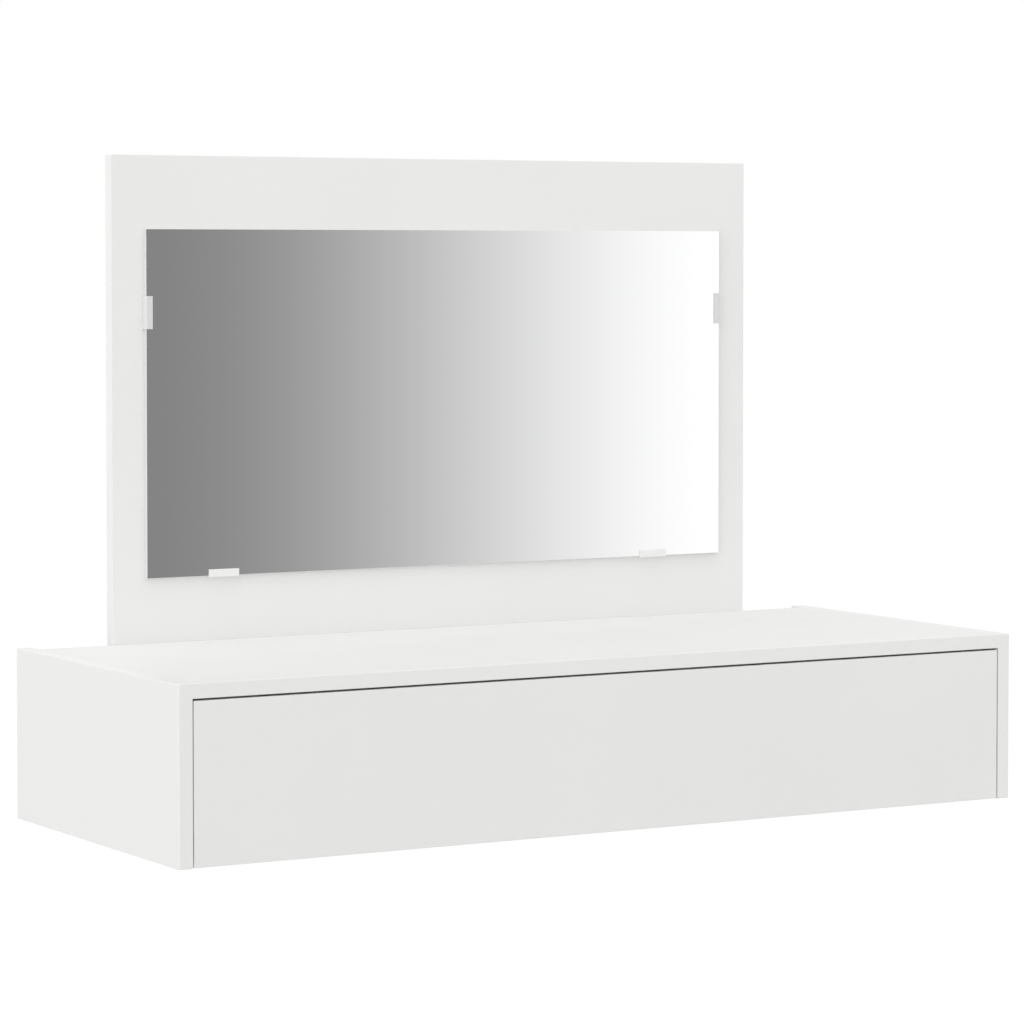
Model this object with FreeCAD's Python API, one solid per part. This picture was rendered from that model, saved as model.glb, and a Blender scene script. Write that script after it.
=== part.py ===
"""Wall-hung dressing table: a low case with one inset drawer and an upright mirror panel behind its top.

Millimetres. X runs to the right, Y towards the wall and Z up, and the origin is the centre of the base.
Paired pieces are built on the right and mirrored across the YZ plane.
"""

import os
from collections import namedtuple

import FreeCAD
import Part

Vector = FreeCAD.Vector
X, Y, Z = Vector(1, 0, 0), Vector(0, 1, 0), Vector(0, 0, 1)

# Case
WIDTH = 1000.0
DEPTH = 400.0
CASE_HEIGHT = 180.0
TOTAL_HEIGHT = 700.0
BOARD = 15.0
EDGE_ROUND = 0.6
CORNER_ROUND = 1.5  # upright outer edges of the sides
REAR_NOTCH = 24.0  # how far the sides run past the rear edge of the top
FINGER_GAP = 45.0  # between the drawer front and the bottom panel

# Mirror panel, glass and clips
PANEL_WIDTH = 800.0
PANEL_FOOT_Z = 90.0
PANEL_SCREW_XS = (-300.0, 0.0, 300.0)
PANEL_SCREW_ZS = (120.0, 172.5)
GLASS_WIDTH = 725.0
GLASS_HEIGHT = 372.0
GLASS_THICK = 6.0
GLASS_FOOT_Z = 249.5
GLASS_ARRIS = 0.4
CLIP_LENGTH = 35.0
CLIP_WALL = 2.0
CLIP_WEB = 1.2
CLIP_LIP = 7.0  # how far the lip covers the glass
CLIP_PLATE = 24.0  # how far the plate reaches behind the glass
CLIP_CLEAR = 0.1
CLIP_ROUND = 0.7
CLIP_SCREW_INSET = 13.0
SIDE_CLIP_Z = 532.5
BOTTOM_CLIP_X = 272.0

# Drawer
FRONT_SIDE_GAP = 1.4
FRONT_TOP_GAP = 2.1
FRONT_FOOT_Z = 0.5
DRAWER_BOARD = 12.0
DRAWER_LENGTH = 330.0
DRAWER_FOOT_Z = 27.0
DRAWER_SIDE_HEIGHT = 115.0
SHEET = 3.0
SHEET_RISE = 10.0
GROOVE_DEPTH = 5.5
GROOVE_CLEAR = 0.1

# Roller runners
RUNNER_GAP = 12.5  # between the drawer side and the case side
RUNNER_LENGTH = 300.0
RUNNER_SETBACK = 22.0
STEEL = 1.0
CHANNEL_FOOT_Z = 24.0
CHANNEL_HEIGHT = 30.0
CHANNEL_FLANGE = 10.0
RAIL_TOP_Z = 50.0
RAIL_LEDGE = 10.5
RAIL_FOOT = 10.5  # how far the foot reaches under the drawer side
RAIL_SCREW_DROP = 5.0  # from the ledge down to the screws
BEND = 0.4  # inner radius of a bend, in thicknesses of the sheet
ROLLER_RADIUS = 10.7
ROLLER_WIDTH = 7.0
ROLLER_ROUND = 0.6
ROLLER_GAP = 0.3
ROLLER_RECESS_RADIUS = 5.0
AXLE_RADIUS = 3.0
AXLE_CLEAR = 0.05
AXLE_FOOT_RADIUS = 2.0
AXLE_HEAD_RADIUS = 4.5
AXLE_HEAD = 1.0
HEAD_CLEAR = 0.2
FRONT_ROLLER_INSET = 15.0
REAR_ROLLER_INSET = 12.0
TRAVEL = 225.0
STOP_HEIGHT = 4.0
STOP_LENGTH = 2.6
STOP_INSETS = (0.5, 2.0)  # from the channel's mouth and from its web

# Wall brackets
BRACKET_STEEL = 2.0
BRACKET_ZS = (95.0, 160.0)
BRACKET_REACH = 45.0
BRACKET_CORNER = 6.0
BRACKET_SETBACK = 1.0  # behind the front of the notch
KEYHOLE_X = 460.0
KEYHOLE_Z = 115.0
KEYHOLE_RADIUS = 5.0
KEYSLOT_RADIUS = 2.5
KEYSLOT_RISE = 20.0

# Fasteners
FIT = 0.05
END_CLEAR = 0.5
CROSS_REACH = 0.6  # arm of a cross recess, in radii of the head
CROSS_HALF_WIDTH = 0.14  # in radii of the head
CROSS_DEPTH = 0.7  # in heights of the head
ScrewSize = namedtuple("ScrewSize", "shank_r length head_r head_h")
PANEL_SCREW = ScrewSize(2.0, 27.0, 4.0, 2.4)
DRAWER_BACK_SCREW = ScrewSize(2.0, 35.0, 4.0, 2.4)
RUNNER_SCREW = ScrewSize(1.75, 11.0, 3.2, 1.6)
BRACKET_SCREW = ScrewSize(2.0, 13.0, 3.6, 1.8)
SHEET_SCREW = ScrewSize(1.5, 14.0, 3.0, 1.3)
CLIP_SCREW = ScrewSize(1.5, 11.0, 3.0, 1.4)
CamSize = namedtuple("CamSize", "board lock_r lock_depth inset thread_r thread_length shaft_r head_r")
CASE_CAM = CamSize(BOARD, 7.5, 12.5, 34.0, 3.0, 10.5, 2.6, 3.4)
DRAWER_CAM = CamSize(DRAWER_BOARD, 6.0, 9.5, 24.0, 2.5, 9.5, 2.0, 2.6)
CAM_SLOT_CLEAR = 0.3
CAM_HEAD_LENGTH = 1.3  # in radii of the bolt's head
CAM_CROSS_DEPTH = 0.12  # in thicknesses of the board
DowelSize = namedtuple("DowelSize", "radius root_depth board_depth")
CASE_DOWEL = DowelSize(4.0, 10.0, 22.0)
DRAWER_DOWEL = DowelSize(3.0, 9.0, 16.0)
DOWEL_CHAMFER = 0.8

# Where the fasteners go
TOP_CAM_YS = (-150.0, 120.0)
TOP_DOWEL_YS = (-100.0, 60.0)
BOTTOM_CAM_YS = (-100.0, 120.0)
BOTTOM_DOWEL_YS = (-55.0, 60.0)
BACK_CAM_ZS = (90.0,)
BACK_DOWEL_ZS = (50.0, 130.0)
FRONT_CAM_ZS = (80.0, 122.0)
FRONT_DOWEL_ZS = (60.0, 101.0)
DRAWER_BACK_SCREW_ZS = (65.0, 117.0)
SHEET_SCREW_XS = (-380.0, -190.0, 0.0, 190.0, 380.0)
CASE_RUNNER_SCREW_YS = (-132.0, -20.0, 85.0)
DRAWER_RUNNER_SCREW_YS = (-120.0, -20.0, 70.0)
BRACKET_SCREW_ZS = (108.0, 147.0)

# Planes that the pieces share
HALF = WIDTH / 2
INNER_X = HALF - BOARD
FRONT_Y = -DEPTH / 2
WALL_Y = DEPTH / 2
PANEL_Y = WALL_Y - REAR_NOTCH
BACK_Y = PANEL_Y - BOARD
UNDER_TOP_Z = CASE_HEIGHT - BOARD
FRONT_BACK_Y = FRONT_Y + BOARD
DRAWER_X = INNER_X - RUNNER_GAP
DRAWER_INNER_X = DRAWER_X - DRAWER_BOARD
DRAWER_REAR_Y = FRONT_BACK_Y + DRAWER_LENGTH
DRAWER_TOP_Z = DRAWER_FOOT_Z + DRAWER_SIDE_HEIGHT
SHEET_Z = DRAWER_FOOT_Z + SHEET_RISE
RUNNER_YS = (FRONT_Y + RUNNER_SETBACK, FRONT_Y + RUNNER_SETBACK + RUNNER_LENGTH)
CHANNEL_FLOOR_Z = CHANNEL_FOOT_Z + STEEL
LEDGE_Z = RAIL_TOP_Z - STEEL
GLASS_HALF = GLASS_WIDTH / 2
GLASS_FRONT_Y = PANEL_Y - GLASS_THICK
CLIP_PLATE_Y = PANEL_Y + CLIP_CLEAR
CLIP_REAR_Y = CLIP_PLATE_Y + CLIP_WALL


def box(xs, ys, zs):
    """Block between two values of X, Y and Z."""
    return Part.makeBox(xs[1] - xs[0], ys[1] - ys[0], zs[1] - zs[0], Vector(xs[0], ys[0], zs[0]))


def rod(radius, start, direction, length):
    """Cylinder from a point along a direction."""
    return Part.makeCylinder(radius, length, start, direction)


def prism(points, direction, length):
    """Block with a flat outline of many corners, pushed along a direction."""
    return Part.Face(Part.makePolygon(points + points[:1])).extrude(direction * length)


def cut(shape, tools):
    """Take the tools out of one solid."""
    return shape.cut(tools).Solids[0]


def join(shape, others):
    """One solid out of several that touch."""
    return shape.fuse(others).removeSplitter().Solids[0]


def edges_along(shape, directions):
    """Straight edges that run along any of the directions."""
    straight = [edge for edge in shape.Edges if isinstance(edge.Curve, Part.Line)]
    return [
        edge
        for edge in straight
        if any(abs(edge.Curve.Direction.dot(direction)) > 0.999 for direction in directions)
    ]


def edges_through(shape, direction, points):
    """Edges that run along a direction and through any of the points."""
    return [
        edge
        for edge in edges_along(shape, [direction])
        if any((edge.Curve.Location - point).cross(direction).Length < 0.01 for point in points)
    ]


def edges_at(shape, y):
    """Edges that lie in one upright plane."""
    return [edge for edge in shape.Edges if all(abs(vertex.Y - y) < 0.01 for vertex in edge.Vertexes)]


def eased(shape, directions):
    """Round the edges that run along the directions."""
    return shape.makeFillet(EDGE_ROUND, edges_along(shape, directions))


def bent(shape, direction, outer_points, inner_points, steel):
    """Round the bends of a folded sheet, wider on the outside by the sheet's thickness."""
    outer = edges_through(shape, direction, outer_points)
    shape = shape.makeFillet(steel * (1 + BEND), outer)
    return shape.makeFillet(steel * BEND, edges_through(shape, direction, inner_points))


def mirrored(shape):
    """The same piece on the left."""
    return shape.mirror(Vector(0, 0, 0), X)


def both(shapes):
    """Pieces of the right side together with those of the left."""
    return shapes + [mirrored(shape) for shape in shapes]


def placed(shape, position, out, towards=None):
    """Stand a piece at a point with its Z along out, and its X along towards where that matters."""
    if towards is None:
        turn = FreeCAD.Rotation(Z, out)
    else:
        turn = FreeCAD.Rotation(towards, out.cross(towards), out, "ZXY")
    moved = shape.copy()
    moved.Placement = FreeCAD.Placement(position, turn)
    return moved


def cross_recess(radius, depth, top_z):
    """Cutters for the cross in a screw head."""
    arm, half_width = radius * CROSS_REACH, radius * CROSS_HALF_WIDTH
    zs = (top_z - depth, top_z + 1)
    return [
        box((-arm, arm), (-half_width, half_width), zs),
        box((-half_width, half_width), (-arm, arm), zs),
    ]


def pan_screw(seat, out, size):
    """Screw whose flat-sided head stands on the seat."""
    screw = join(rod(size.shank_r, Vector(0, 0, -size.length), Z, size.length),
                 [rod(size.head_r, Vector(0, 0, 0), Z, size.head_h)])
    screw = cut(screw, cross_recess(size.head_r, size.head_h * CROSS_DEPTH, size.head_h))
    return placed(screw, seat, out)


def screw_hole(seat, out, size):
    """Hole for the shank of a pan screw, from its seat inwards."""
    return rod(size.shank_r + FIT, seat, out * -1, size.length + END_CLEAR)


def sunk_form(size, clear, end):
    """Shank with a conical head whose top lies at Z = 0."""
    shank = rod(size.shank_r + clear, Vector(0, 0, -size.length - end), Z, size.length + end)
    return join(shank, [Part.makeCone(size.shank_r + clear, size.head_r + clear, size.head_h,
                                      Vector(0, 0, -size.head_h), Z)])


def sunk_screw(seat, out, size):
    """Screw whose conical head lies flush with the seat."""
    screw = cut(sunk_form(size, 0.0, 0.0), cross_recess(size.head_r, size.head_h * CROSS_DEPTH, 0.0))
    return placed(screw, seat, out)


def sunk_hole(seat, out, size):
    """Countersunk hole for a flush screw."""
    return placed(sunk_form(size, FIT, END_CLEAR), seat, out)


def dowel_joint(root, along, size):
    """Dowel across the meeting of two boards, and the hole it lies in."""
    length = size.root_depth + size.board_depth
    start = root - along * size.root_depth
    pin = rod(size.radius, start, along, length)
    rims = [edge for edge in pin.Edges if isinstance(edge.Curve, Part.Circle)]
    hole = rod(size.radius + FIT, start - along * END_CLEAR, along, length + 2 * END_CLEAR)
    return pin.makeChamfer(DOWEL_CHAMFER, rims), hole


CamJoint = namedtuple("CamJoint", "bolt lock root_hole board_holes")


def cam_joint(root, along, face, size):
    """Bolt screwed into one board at root and caught by a turning lock in the next.

    Root lies on the second board's middle plane, along points into that board, and face towards the side
    that the lock goes in from.
    """
    neck = size.inset - size.head_r
    bolt = join(rod(size.thread_r, root - along * size.thread_length, along, size.thread_length),
                [rod(size.shaft_r, root, along, size.inset),
                 rod(size.head_r, root + along * neck, along, size.head_r * CAM_HEAD_LENGTH)])
    slot_r = size.head_r + CAM_SLOT_CLEAR
    slot_zs = (-size.lock_depth - 1, slot_r - size.board / 2)
    slot = [box((0, size.lock_r + 1), (-slot_r, slot_r), slot_zs),
            rod(slot_r, Vector(0, 0, slot_zs[0]), Z, slot_zs[1] - slot_zs[0])]
    lock = rod(size.lock_r - FIT, Vector(0, 0, -size.lock_depth), Z, size.lock_depth)
    lock = cut(lock, slot + cross_recess(size.lock_r, size.board * CAM_CROSS_DEPTH, 0.0))
    seat = root + along * size.inset + face * (size.board / 2)
    return CamJoint(
        bolt=bolt,
        lock=placed(lock, seat, face, along * -1),
        root_hole=rod(size.thread_r + FIT, root, along * -1, size.thread_length + END_CLEAR),
        board_holes=[rod(slot_r, root, along, size.inset),
                     rod(size.lock_r, seat, face * -1, size.lock_depth + FIT)],
    )


def case_joints(cam_spots, dowel_spots, face):
    """Cams and dowels between one case board and the right side panel, at (Y, Z) spots."""
    cams = [cam_joint(Vector(INNER_X, y, z), X * -1, face, CASE_CAM) for y, z in cam_spots]
    dowels = [dowel_joint(Vector(INNER_X, y, z), X * -1, CASE_DOWEL) for y, z in dowel_spots]
    return cams, dowels


def joint_cuts(cams, dowels):
    """Holes that cams and dowels need in the board they run into, on both sides."""
    return both([hole for cam in cams for hole in cam.board_holes] + [hole for _, hole in dowels])


def roller_set(face, out):
    """Roller on a headed axle that stands on a runner's web, with the hole for the axle's riveted foot."""
    def at(distance):
        return face + out * distance

    axle = join(rod(AXLE_FOOT_RADIUS, at(-STEEL), out, STEEL),
                [rod(AXLE_HEAD_RADIUS, at(0), out, AXLE_HEAD),
                 rod(AXLE_RADIUS, at(0), out, ROLLER_WIDTH),
                 rod(AXLE_HEAD_RADIUS, at(ROLLER_WIDTH), out, AXLE_HEAD)])
    wheel = rod(ROLLER_RADIUS, at(AXLE_HEAD + HEAD_CLEAR), out, ROLLER_WIDTH)
    rims = [edge for edge in wheel.Edges if isinstance(edge.Curve, Part.Circle)]
    wheel = wheel.makeFillet(ROLLER_ROUND, rims)
    bore = rod(AXLE_RADIUS + AXLE_CLEAR, at(0), out, 2 * ROLLER_WIDTH)
    recess = rod(ROLLER_RECESS_RADIUS, at(ROLLER_WIDTH - HEAD_CLEAR), out, ROLLER_WIDTH)
    return cut(wheel, [bore, recess]), axle, rod(AXLE_FOOT_RADIUS + FIT, at(0), out * -1, STEEL)


def clip():
    """Mirror clip in its own frame: the edge of the glass is at X = 0 and the clip's length runs along Z.

    A plate behind the glass, a web past its edge and a lip over its front.
    """
    web_x = CLIP_CLEAR + CLIP_WEB
    lip_y = GLASS_FRONT_Y - CLIP_CLEAR
    front_y = lip_y - CLIP_WALL
    outline = [(-CLIP_PLATE, CLIP_PLATE_Y), (CLIP_CLEAR, CLIP_PLATE_Y), (CLIP_CLEAR, lip_y),
               (-CLIP_LIP, lip_y), (-CLIP_LIP, front_y), (web_x, front_y), (web_x, CLIP_REAR_Y),
               (-CLIP_PLATE, CLIP_REAR_Y)]
    body = prism([Vector(x, y, -CLIP_LENGTH / 2) for x, y in outline], Z, CLIP_LENGTH)
    return body.makeFillet(CLIP_ROUND, edges_at(body, front_y))


def clip_pocket():
    """Shallow seat in the mirror panel that takes a clip's plate, in the clip's own frame."""
    xs = (-CLIP_PLATE - CLIP_CLEAR, 2 * CLIP_CLEAR + CLIP_WEB)
    half = CLIP_LENGTH / 2 + CLIP_CLEAR
    return box(xs, (PANEL_Y - 1, CLIP_REAR_Y), (-half, half))


def at_clip_spots(shape):
    """Shape of the clip's frame at the right edge of the glass, and at the right of its lower edge."""
    beside, below = shape.copy(), shape.copy()
    beside.translate(Vector(GLASS_HALF, 0, SIDE_CLIP_Z))
    below.rotate(Vector(0, 0, 0), Y, 90)
    below.translate(Vector(BOTTOM_CLIP_X, 0, GLASS_FOOT_Z))
    return [beside, below]


def case_runner(screw_holes):
    """Channel on the right side panel, with a stop tab at each end of the rear roller's way."""
    ys = RUNNER_YS
    inner, mouth = INNER_X - STEEL, INNER_X - CHANNEL_FLANGE
    floor, roof = CHANNEL_FLOOR_Z, CHANNEL_FOOT_Z + CHANNEL_HEIGHT - STEEL
    outline = [(INNER_X, floor - STEEL), (INNER_X, roof + STEEL), (mouth, roof + STEEL), (mouth, roof),
               (inner, roof), (inner, floor), (mouth, floor), (mouth, floor - STEEL)]
    channel = prism([Vector(x, ys[0], z) for x, z in outline], Y, RUNNER_LENGTH)
    channel = bent(channel, Y, [Vector(INNER_X, 0, floor - STEEL), Vector(INNER_X, 0, roof + STEEL)],
                   [Vector(inner, 0, floor), Vector(inner, 0, roof)], STEEL)
    rest_y = ys[1] - REAR_ROLLER_INSET
    below_axis = ROLLER_RADIUS + ROLLER_GAP - STOP_HEIGHT
    reach = (ROLLER_RADIUS ** 2 - below_axis ** 2) ** 0.5 + ROLLER_GAP
    tab_xs = (mouth + STOP_INSETS[0], inner - STOP_INSETS[1])
    tab_zs = (floor - STEEL / 2, floor + STOP_HEIGHT)
    tabs = [box(tab_xs, (rest_y + reach, rest_y + reach + STOP_LENGTH), tab_zs),
            box(tab_xs, (rest_y - TRAVEL - reach - STOP_LENGTH, rest_y - TRAVEL - reach), tab_zs)]
    return cut(join(channel, tabs), screw_holes)


def drawer_runner(screw_holes):
    """Rail on the right drawer side: a ledge that rides on the front roller and a foot under the side."""
    ys = RUNNER_YS
    foot_z = DRAWER_FOOT_Z - STEEL
    outer = DRAWER_X + STEEL
    ledge_x, foot_x = outer + RAIL_LEDGE - STEEL, DRAWER_X - RAIL_FOOT
    outline = [(DRAWER_X, RAIL_TOP_Z), (ledge_x, RAIL_TOP_Z), (ledge_x, LEDGE_Z), (outer, LEDGE_Z),
               (outer, foot_z), (foot_x, foot_z), (foot_x, DRAWER_FOOT_Z), (DRAWER_X, DRAWER_FOOT_Z)]
    rail = prism([Vector(x, ys[0], z) for x, z in outline], Y, RUNNER_LENGTH)
    rail = bent(rail, Y, [Vector(DRAWER_X, 0, RAIL_TOP_Z), Vector(outer, 0, foot_z)],
                [Vector(outer, 0, LEDGE_Z), Vector(DRAWER_X, 0, DRAWER_FOOT_Z)], STEEL)
    return cut(rail, screw_holes)


def wall_bracket(screw_holes):
    """Angle in the right rear notch, with a keyhole in the leg that lies on the wall."""
    low, high = BRACKET_ZS
    inner_x, inner_y, end_x = INNER_X - BRACKET_STEEL, WALL_Y - BRACKET_STEEL, INNER_X - BRACKET_REACH
    front_y = PANEL_Y + BRACKET_SETBACK
    outline = [(INNER_X, front_y), (INNER_X, WALL_Y), (end_x, WALL_Y), (end_x, inner_y),
               (inner_x, inner_y), (inner_x, front_y)]
    angle = prism([Vector(x, y, low) for x, y in outline], Z, high - low)
    angle = bent(angle, Z, [Vector(INNER_X, WALL_Y, 0)], [Vector(inner_x, inner_y, 0)], BRACKET_STEEL)
    corners = edges_through(angle, Y, [Vector(end_x, 0, low), Vector(end_x, 0, high)])
    angle = angle.makeFillet(BRACKET_CORNER, corners)
    eye = Vector(KEYHOLE_X, inner_y - 1, KEYHOLE_Z)
    through = BRACKET_STEEL + 2
    slot = box((KEYHOLE_X - KEYSLOT_RADIUS, KEYHOLE_X + KEYSLOT_RADIUS), (eye.y, eye.y + through),
               (KEYHOLE_Z, KEYHOLE_Z + KEYSLOT_RISE))
    keyhole = [rod(KEYHOLE_RADIUS, eye, Y, through), slot,
               rod(KEYSLOT_RADIUS, eye + Z * KEYSLOT_RISE, Y, through)]
    return cut(angle, keyhole + screw_holes)


parts = {}

# Joints between the case boards
top_cams, top_dowels = case_joints([(y, CASE_HEIGHT - BOARD / 2) for y in TOP_CAM_YS],
                                   [(y, CASE_HEIGHT - BOARD / 2) for y in TOP_DOWEL_YS], Z * -1)
bottom_cams, bottom_dowels = case_joints([(y, BOARD / 2) for y in BOTTOM_CAM_YS],
                                         [(y, BOARD / 2) for y in BOTTOM_DOWEL_YS], Z)
back_cams, back_dowels = case_joints([(BACK_Y + BOARD / 2, z) for z in BACK_CAM_ZS],
                                     [(BACK_Y + BOARD / 2, z) for z in BACK_DOWEL_ZS], Y * -1)
case_cams = top_cams + bottom_cams + back_cams
case_dowels = top_dowels + bottom_dowels + back_dowels
parts["case_cam_bolts"] = both([cam.bolt for cam in case_cams])
parts["case_cam_locks"] = both([cam.lock for cam in case_cams])
parts["case_dowels"] = both([pin for pin, _ in case_dowels])

# Screws of the runners and wall brackets, on the right
channel_mid_z = CHANNEL_FOOT_Z + CHANNEL_HEIGHT / 2
case_runner_seats = [Vector(INNER_X - STEEL, y, channel_mid_z) for y in CASE_RUNNER_SCREW_YS]
case_runner_holes = [screw_hole(seat, X * -1, RUNNER_SCREW) for seat in case_runner_seats]
drawer_runner_seats = [Vector(DRAWER_X + STEEL, y, LEDGE_Z - RAIL_SCREW_DROP) for y in DRAWER_RUNNER_SCREW_YS]
drawer_runner_holes = [screw_hole(seat, X, RUNNER_SCREW) for seat in drawer_runner_seats]
bracket_seats = [Vector(INNER_X - BRACKET_STEEL, WALL_Y - REAR_NOTCH / 2, z) for z in BRACKET_SCREW_ZS]
bracket_holes = [screw_hole(seat, X * -1, BRACKET_SCREW) for seat in bracket_seats]
parts["case_runner_screws"] = both([pan_screw(seat, X * -1, RUNNER_SCREW) for seat in case_runner_seats])
parts["drawer_runner_screws"] = both([pan_screw(seat, X, RUNNER_SCREW) for seat in drawer_runner_seats])
parts["wall_bracket_screws"] = both([pan_screw(seat, X * -1, BRACKET_SCREW) for seat in bracket_seats])

# Screws that hold the mirror panel to the rear of the top and of the back panel
panel_seats = [Vector(x, PANEL_Y + BOARD, z) for z in PANEL_SCREW_ZS for x in PANEL_SCREW_XS]
panel_holes = [sunk_hole(seat, Y, PANEL_SCREW) for seat in panel_seats]
parts["mirror_panel_screws"] = [sunk_screw(seat, Y, PANEL_SCREW) for seat in panel_seats]

# Case boards
side = box((INNER_X, HALF), (FRONT_Y, WALL_Y), (0, CASE_HEIGHT))
outer_corners = [edge for edge in edges_along(side, [Z]) if edge.CenterOfMass.x > INNER_X + 1]
side = side.makeFillet(CORNER_ROUND, outer_corners)
level_edges = [edge for edge in side.Edges if abs(edge.Vertexes[0].Z - edge.Vertexes[1].Z) < 0.01]
side = side.makeFillet(EDGE_ROUND, [edge for edge in level_edges if edge.CenterOfMass.x > INNER_X + 1])
side = cut(side, [cam.root_hole for cam in case_cams] + [hole for _, hole in case_dowels]
           + case_runner_holes + bracket_holes)
parts["side_panel_right"] = [side]
parts["side_panel_left"] = [mirrored(side)]

top = eased(box((-INNER_X, INNER_X), (FRONT_Y, PANEL_Y), (UNDER_TOP_Z, CASE_HEIGHT)), [X])
parts["top_panel"] = [cut(top, joint_cuts(top_cams, top_dowels) + panel_holes)]

bottom = eased(box((-INNER_X, INNER_X), (FRONT_BACK_Y + FINGER_GAP, PANEL_Y), (0, BOARD)), [X])
parts["bottom_panel"] = [cut(bottom, joint_cuts(bottom_cams, bottom_dowels))]

back = box((-INNER_X, INNER_X), (BACK_Y, PANEL_Y), (BOARD, UNDER_TOP_Z))
parts["back_panel"] = [cut(back, joint_cuts(back_cams, back_dowels) + panel_holes)]

# Mirror clips beside and below the glass, which slides down behind their lips
clip_seat = Vector(-CLIP_SCREW_INSET, CLIP_PLATE_Y, 0)
clip_hole = sunk_hole(clip_seat, Y * -1, CLIP_SCREW)
side_clip, bottom_clip = at_clip_spots(cut(clip(), [clip_hole]))
parts["mirror_clip_right"] = [side_clip]
parts["mirror_clip_left"] = [mirrored(side_clip)]
parts["mirror_clip_bottom_right"] = [bottom_clip]
parts["mirror_clip_bottom_left"] = [mirrored(bottom_clip)]
parts["mirror_clip_screws"] = both(at_clip_spots(sunk_screw(clip_seat, Y * -1, CLIP_SCREW)))
clip_cuts = both(at_clip_spots(clip_hole) + at_clip_spots(clip_pocket()))

# Mirror panel and glass
panel = box((-PANEL_WIDTH / 2, PANEL_WIDTH / 2), (PANEL_Y, PANEL_Y + BOARD), (PANEL_FOOT_Z, TOTAL_HEIGHT))
parts["mirror_panel"] = [cut(eased(panel, [X, Y, Z]), panel_holes + clip_cuts)]

glass = box((-GLASS_HALF, GLASS_HALF), (GLASS_FRONT_Y, PANEL_Y), (GLASS_FOOT_Z, GLASS_FOOT_Z + GLASS_HEIGHT))
parts["mirror_glass"] = [glass.makeChamfer(GLASS_ARRIS, edges_at(glass, GLASS_FRONT_Y))]

# Drawer front, sides, back and bottom sheet
front_cams = [cam_joint(Vector(DRAWER_X - DRAWER_BOARD / 2, FRONT_BACK_Y, z), Y, X, DRAWER_CAM)
              for z in FRONT_CAM_ZS]
front_dowels = [dowel_joint(Vector(DRAWER_X - DRAWER_BOARD / 2, FRONT_BACK_Y, z), Y, DRAWER_DOWEL)
                for z in FRONT_DOWEL_ZS]
parts["drawer_cam_bolts"] = both([cam.bolt for cam in front_cams])
parts["drawer_cam_locks"] = both([cam.lock for cam in front_cams])
parts["drawer_dowels"] = both([pin for pin, _ in front_dowels])

groove = box((-DRAWER_INNER_X - GROOVE_DEPTH, DRAWER_INNER_X + GROOVE_DEPTH),
             (FRONT_BACK_Y - GROOVE_DEPTH, DRAWER_REAR_Y + 1),
             (SHEET_Z - GROOVE_CLEAR, SHEET_Z + SHEET + GROOVE_CLEAR))
front_half = INNER_X - FRONT_SIDE_GAP
front = eased(box((-front_half, front_half), (FRONT_Y, FRONT_BACK_Y),
                  (FRONT_FOOT_Z, UNDER_TOP_Z - FRONT_TOP_GAP)), [X, Y, Z])
front_cuts = both([cam.root_hole for cam in front_cams] + [hole for _, hole in front_dowels])
parts["drawer_front"] = [cut(front, front_cuts + [groove])]

back_mid_y = DRAWER_REAR_Y - DRAWER_BOARD / 2
back_seats = [Vector(DRAWER_X, back_mid_y, z) for z in DRAWER_BACK_SCREW_ZS]
back_holes = [sunk_hole(seat, X, DRAWER_BACK_SCREW) for seat in back_seats]
parts["drawer_back_screws"] = both([sunk_screw(seat, X, DRAWER_BACK_SCREW) for seat in back_seats])

drawer_side = box((DRAWER_INNER_X, DRAWER_X), (FRONT_BACK_Y, DRAWER_REAR_Y), (DRAWER_FOOT_Z, DRAWER_TOP_Z))
drawer_side = eased(drawer_side, [Y])
drawer_side = cut(drawer_side, [hole for cam in front_cams for hole in cam.board_holes]
                  + [hole for _, hole in front_dowels] + back_holes + drawer_runner_holes + [groove])
parts["drawer_side_right"] = [drawer_side]
parts["drawer_side_left"] = [mirrored(drawer_side)]

sheet_seats = [Vector(x, back_mid_y, SHEET_Z) for x in SHEET_SCREW_XS]
sheet_holes = [screw_hole(seat, Z * -1, SHEET_SCREW) for seat in sheet_seats]
parts["drawer_bottom_screws"] = [pan_screw(seat, Z * -1, SHEET_SCREW) for seat in sheet_seats]

drawer_back = box((-DRAWER_INNER_X, DRAWER_INNER_X), (DRAWER_REAR_Y - DRAWER_BOARD, DRAWER_REAR_Y),
                  (SHEET_Z + SHEET, DRAWER_TOP_Z))
parts["drawer_back"] = [cut(drawer_back, both(back_holes) + sheet_holes)]

sheet_half = DRAWER_INNER_X + GROOVE_DEPTH - END_CLEAR
sheet = box((-sheet_half, sheet_half), (FRONT_BACK_Y - GROOVE_DEPTH + END_CLEAR, DRAWER_REAR_Y),
            (SHEET_Z, SHEET_Z + SHEET))
parts["drawer_bottom"] = [cut(sheet, sheet_holes)]

# Runners, with the front rollers on the case and the rear rollers on the drawer
front_axis_z = LEDGE_Z - ROLLER_GAP - ROLLER_RADIUS
rear_axis_z = CHANNEL_FLOOR_Z + ROLLER_GAP + ROLLER_RADIUS
front_roller, front_axle, front_axle_hole = roller_set(
    Vector(INNER_X - STEEL, RUNNER_YS[0] + FRONT_ROLLER_INSET, front_axis_z), X * -1)
rear_roller, rear_axle, rear_axle_hole = roller_set(
    Vector(DRAWER_X + STEEL, RUNNER_YS[1] - REAR_ROLLER_INSET, rear_axis_z), X)
channel = case_runner(case_runner_holes + [front_axle_hole])
rail = drawer_runner(drawer_runner_holes + [rear_axle_hole])
parts["case_runner_right"] = [channel]
parts["case_runner_left"] = [mirrored(channel)]
parts["drawer_runner_right"] = [rail]
parts["drawer_runner_left"] = [mirrored(rail)]
parts["front_roller_right"] = [front_roller]
parts["front_roller_left"] = [mirrored(front_roller)]
parts["rear_roller_right"] = [rear_roller]
parts["rear_roller_left"] = [mirrored(rear_roller)]
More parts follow.
